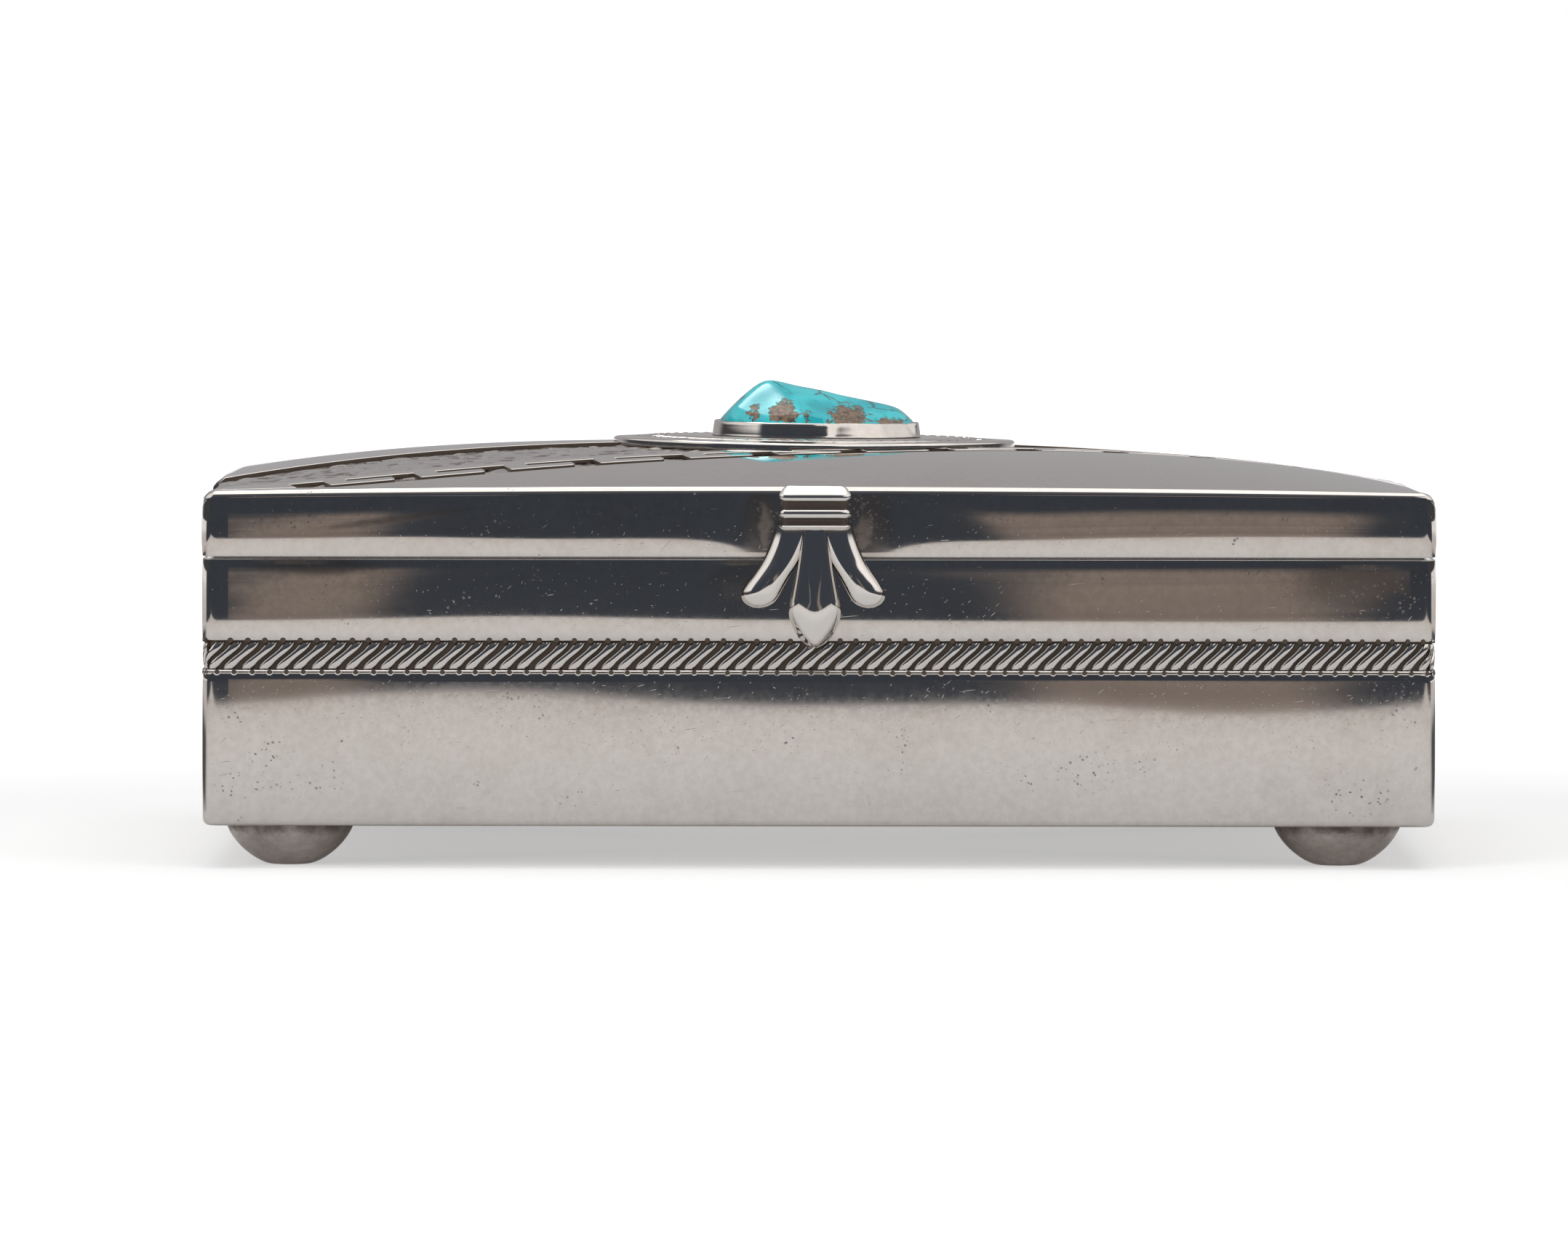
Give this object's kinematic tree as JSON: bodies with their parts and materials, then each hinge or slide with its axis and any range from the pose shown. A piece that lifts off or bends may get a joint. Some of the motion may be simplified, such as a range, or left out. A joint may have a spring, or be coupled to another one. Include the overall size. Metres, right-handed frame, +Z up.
{
  "type": "keepsake box",
  "caption": "Rectangular silver keepsake box with a domed, hinged lid, a turquoise in an oval medallion, a rope border and low button feet.",
  "frame": {"origin": "on the surface the box stands on, under the middle of its bounding box", "axes": "+X along the front, to the right as seen from the front; +Y from the front to the hinge; +Z up"},
  "size_m": [0.1524, 0.104, 0.0593],
  "materials": {
    "polished_silver": "polished silver, lightly worn",
    "satin_silver": "satin silver, tarnished",
    "oxidised_silver": "oxidised silver, textured",
    "turquoise": "polished stone"
  },
  "bodies": {
    "case": {"case_wall": "polished_silver", "base_plate": "satin_silver", "inner_lip": "satin_silver", "rope_border_front": "polished_silver", "rope_border_back": "polished_silver", "rope_border_left": "polished_silver", "rope_border_right": "polished_silver", "foot_front_left": "satin_silver", "foot_front_right": "satin_silver", "foot_back_left": "satin_silver", "foot_back_right": "satin_silver", "case_bearer": "satin_silver", "case_knuckle_1": "satin_silver", "case_knuckle_3": "satin_silver", "case_knuckle_5": "satin_silver", "hinge_pin": "satin_silver"},
    "lid": {"lid_rim": "polished_silver", "lid_plate": "oxidised_silver", "near_field": "polished_silver", "far_field": "polished_silver", "fret_strip": "polished_silver", "medallion": "polished_silver", "bezel_cup": "polished_silver", "turquoise": "turquoise", "thumb_piece": "polished_silver", "lid_bearer": "satin_silver", "lid_knuckle_2": "satin_silver", "lid_knuckle_4": "satin_silver"}
  },
  "joints": [
    {"name": "lid_hinge", "type": "hinge", "parent": "case", "child": "lid", "pos_m": [0, 0.0507, 0.0384], "axis": [-1, 0, 0], "range_deg": [0, 100]}
  ]
}
